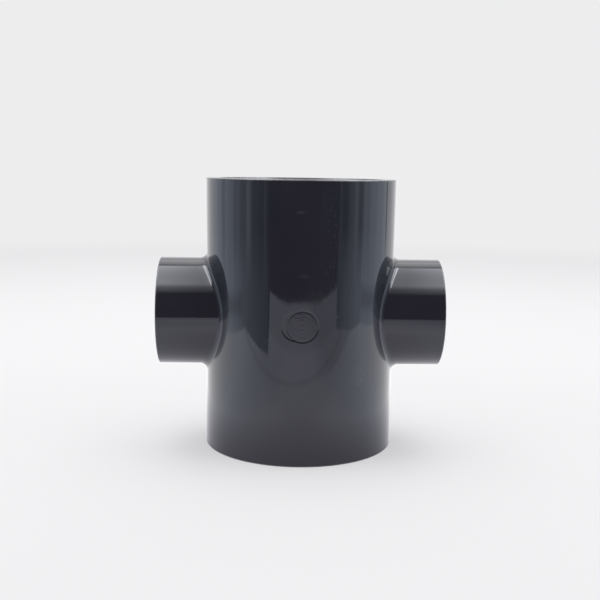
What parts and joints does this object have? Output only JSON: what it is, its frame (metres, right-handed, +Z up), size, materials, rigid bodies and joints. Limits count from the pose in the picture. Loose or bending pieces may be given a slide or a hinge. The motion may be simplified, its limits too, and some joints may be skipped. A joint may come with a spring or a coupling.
{
  "type": "reducing pipe cross",
  "caption": "Reducing pipe cross in dark grey PVC-U: a straight run with a plain solvent-cement socket at each end, crossed at mid-height by smaller opposed branch sockets.",
  "frame": {"origin": "where the run axis and the branch axis meet, at the middle of the body", "axes": "+Z up along the run axis, +X along the branch axis, and the moulding gate's round recess on the -Y side"},
  "size_m": [0.193, 0.13, 0.184],
  "materials": {
    "grey_pvc": "glossy injection-moulded PVC-U, dark iron grey"
  },
  "bodies": {
    "root": {"cross_body": "grey_pvc"}
  },
  "joints": []
}
